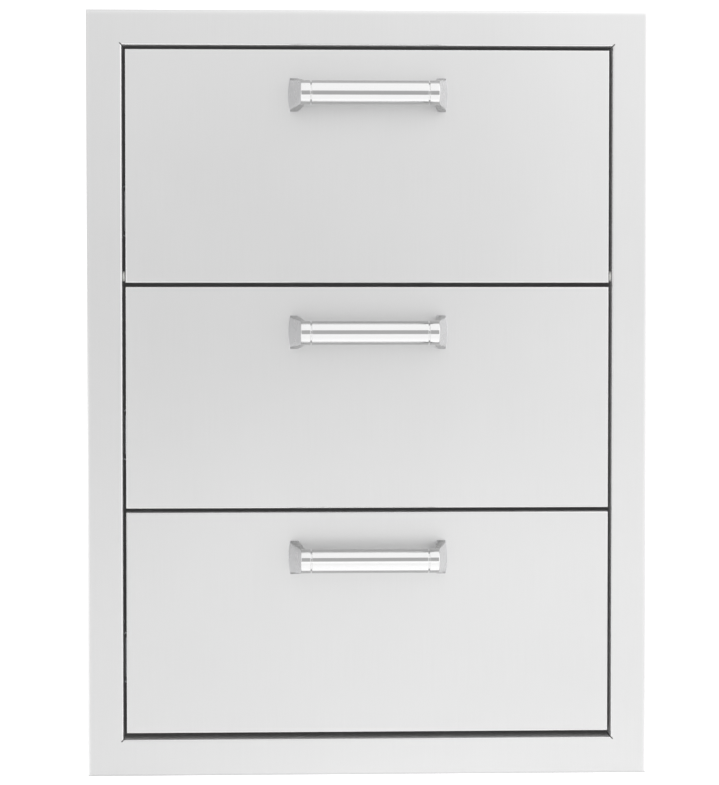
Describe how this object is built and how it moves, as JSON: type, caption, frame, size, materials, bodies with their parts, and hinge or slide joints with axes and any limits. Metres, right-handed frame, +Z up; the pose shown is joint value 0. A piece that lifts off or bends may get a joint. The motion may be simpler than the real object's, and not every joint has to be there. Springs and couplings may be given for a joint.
{
  "type": "outdoor kitchen drawer unit",
  "caption": "Built-in stainless drawer stack with a flanged face frame, flush fronts, round bar handles and full-extension ball-bearing slides.",
  "frame": {"origin": "middle of the face frame's bottom edge, in the plane of the island's front face, which the flange's turned-back rim rests on", "axes": "+X to the right seen from the front, +Y to the back, into the island, +Z up; drawers open towards -Y"},
  "size_m": [0.4972, 0.5942, 0.6789],
  "materials": {
    "satin_face": "fine satin stainless steel",
    "cabinet_steel": "plain mill-finish stainless steel",
    "slide_steel": "zinc-plated rolled steel",
    "ball_cage": "bright steel balls in a steel cage",
    "polished_bar": "polished stainless steel",
    "cast_post": "satin cast stainless steel",
    "nylon": "natural white nylon"
  },
  "bodies": {
    "cabinet": {"face_frame": "satin_face", "guide_button_left": "nylon", "guide_button_right": "nylon", "side_panel_left": "cabinet_steel", "side_panel_right": "cabinet_steel", "top_panel": "cabinet_steel", "bottom_panel": "cabinet_steel", "back_panel": "cabinet_steel", "divider_rail_upper": "cabinet_steel", "divider_rail_lower": "cabinet_steel", "top_left_slide_cabinet_member": "slide_steel", "top_right_slide_cabinet_member": "slide_steel", "middle_left_slide_cabinet_member": "slide_steel", "middle_right_slide_cabinet_member": "slide_steel", "bottom_left_slide_cabinet_member": "slide_steel", "bottom_right_slide_cabinet_member": "slide_steel"},
    "top_drawer": {"top_drawer_front": "satin_face", "top_drawer_liner": "cabinet_steel", "top_drawer_tray": "cabinet_steel", "top_handle_bar": "polished_bar", "top_handle_post_left": "cast_post", "top_handle_post_right": "cast_post", "top_left_slide_drawer_member": "slide_steel", "top_right_slide_drawer_member": "slide_steel"},
    "top_middle_members": {"top_left_slide_middle_member": "slide_steel", "top_right_slide_middle_member": "slide_steel"},
    "top_cabinet_ball_cages": {"top_left_slide_cabinet_ball_cage": "ball_cage", "top_right_slide_cabinet_ball_cage": "ball_cage"},
    "top_drawer_ball_cages": {"top_left_slide_drawer_ball_cage": "ball_cage", "top_right_slide_drawer_ball_cage": "ball_cage"},
    "middle_drawer": {"middle_drawer_front": "satin_face", "middle_drawer_liner": "cabinet_steel", "middle_drawer_tray": "cabinet_steel", "middle_handle_bar": "polished_bar", "middle_handle_post_left": "cast_post", "middle_handle_post_right": "cast_post", "middle_left_slide_drawer_member": "slide_steel", "middle_right_slide_drawer_member": "slide_steel"},
    "middle_middle_members": {"middle_left_slide_middle_member": "slide_steel", "middle_right_slide_middle_member": "slide_steel"},
    "middle_cabinet_ball_cages": {"middle_left_slide_cabinet_ball_cage": "ball_cage", "middle_right_slide_cabinet_ball_cage": "ball_cage"},
    "middle_drawer_ball_cages": {"middle_left_slide_drawer_ball_cage": "ball_cage", "middle_right_slide_drawer_ball_cage": "ball_cage"},
    "bottom_drawer": {"bottom_drawer_front": "satin_face", "bottom_drawer_liner": "cabinet_steel", "bottom_drawer_tray": "cabinet_steel", "bottom_handle_bar": "polished_bar", "bottom_handle_post_left": "cast_post", "bottom_handle_post_right": "cast_post", "bottom_left_slide_drawer_member": "slide_steel", "bottom_right_slide_drawer_member": "slide_steel"},
    "bottom_middle_members": {"bottom_left_slide_middle_member": "slide_steel", "bottom_right_slide_middle_member": "slide_steel"},
    "bottom_cabinet_ball_cages": {"bottom_left_slide_cabinet_ball_cage": "ball_cage", "bottom_right_slide_cabinet_ball_cage": "ball_cage"},
    "bottom_drawer_ball_cages": {"bottom_left_slide_drawer_ball_cage": "ball_cage", "bottom_right_slide_drawer_ball_cage": "ball_cage"}
  },
  "joints": [
    {"name": "top_drawer_slide", "type": "slide", "parent": "cabinet", "child": "top_drawer", "axis": [0, -1, 0], "range_m": [0, 0.48]},
    {"name": "top_middle_members_slide", "type": "slide", "parent": "cabinet", "child": "top_middle_members", "axis": [0, -1, 0], "range_m": [0, 0.24]},
    {"name": "top_cabinet_ball_cages_slide", "type": "slide", "parent": "cabinet", "child": "top_cabinet_ball_cages", "axis": [0, -1, 0], "range_m": [0, 0.12]},
    {"name": "top_drawer_ball_cages_slide", "type": "slide", "parent": "cabinet", "child": "top_drawer_ball_cages", "axis": [0, -1, 0], "range_m": [0, 0.36]},
    {"name": "middle_drawer_slide", "type": "slide", "parent": "cabinet", "child": "middle_drawer", "axis": [0, -1, 0], "range_m": [0, 0.48]},
    {"name": "middle_middle_members_slide", "type": "slide", "parent": "cabinet", "child": "middle_middle_members", "axis": [0, -1, 0], "range_m": [0, 0.24]},
    {"name": "middle_cabinet_ball_cages_slide", "type": "slide", "parent": "cabinet", "child": "middle_cabinet_ball_cages", "axis": [0, -1, 0], "range_m": [0, 0.12]},
    {"name": "middle_drawer_ball_cages_slide", "type": "slide", "parent": "cabinet", "child": "middle_drawer_ball_cages", "axis": [0, -1, 0], "range_m": [0, 0.36]},
    {"name": "bottom_drawer_slide", "type": "slide", "parent": "cabinet", "child": "bottom_drawer", "axis": [0, -1, 0], "range_m": [0, 0.48]},
    {"name": "bottom_middle_members_slide", "type": "slide", "parent": "cabinet", "child": "bottom_middle_members", "axis": [0, -1, 0], "range_m": [0, 0.24]},
    {"name": "bottom_cabinet_ball_cages_slide", "type": "slide", "parent": "cabinet", "child": "bottom_cabinet_ball_cages", "axis": [0, -1, 0], "range_m": [0, 0.12]},
    {"name": "bottom_drawer_ball_cages_slide", "type": "slide", "parent": "cabinet", "child": "bottom_drawer_ball_cages", "axis": [0, -1, 0], "range_m": [0, 0.36]}
  ],
  "couplings": [
    {"joint": "top_middle_members_slide", "follows": "top_drawer_slide", "ratio": 0.5},
    {"joint": "top_cabinet_ball_cages_slide", "follows": "top_drawer_slide", "ratio": 0.25},
    {"joint": "top_drawer_ball_cages_slide", "follows": "top_drawer_slide", "ratio": 0.75},
    {"joint": "middle_middle_members_slide", "follows": "middle_drawer_slide", "ratio": 0.5},
    {"joint": "middle_cabinet_ball_cages_slide", "follows": "middle_drawer_slide", "ratio": 0.25},
    {"joint": "middle_drawer_ball_cages_slide", "follows": "middle_drawer_slide", "ratio": 0.75},
    {"joint": "bottom_middle_members_slide", "follows": "bottom_drawer_slide", "ratio": 0.5},
    {"joint": "bottom_cabinet_ball_cages_slide", "follows": "bottom_drawer_slide", "ratio": 0.25},
    {"joint": "bottom_drawer_ball_cages_slide", "follows": "bottom_drawer_slide", "ratio": 0.75}
  ]
}
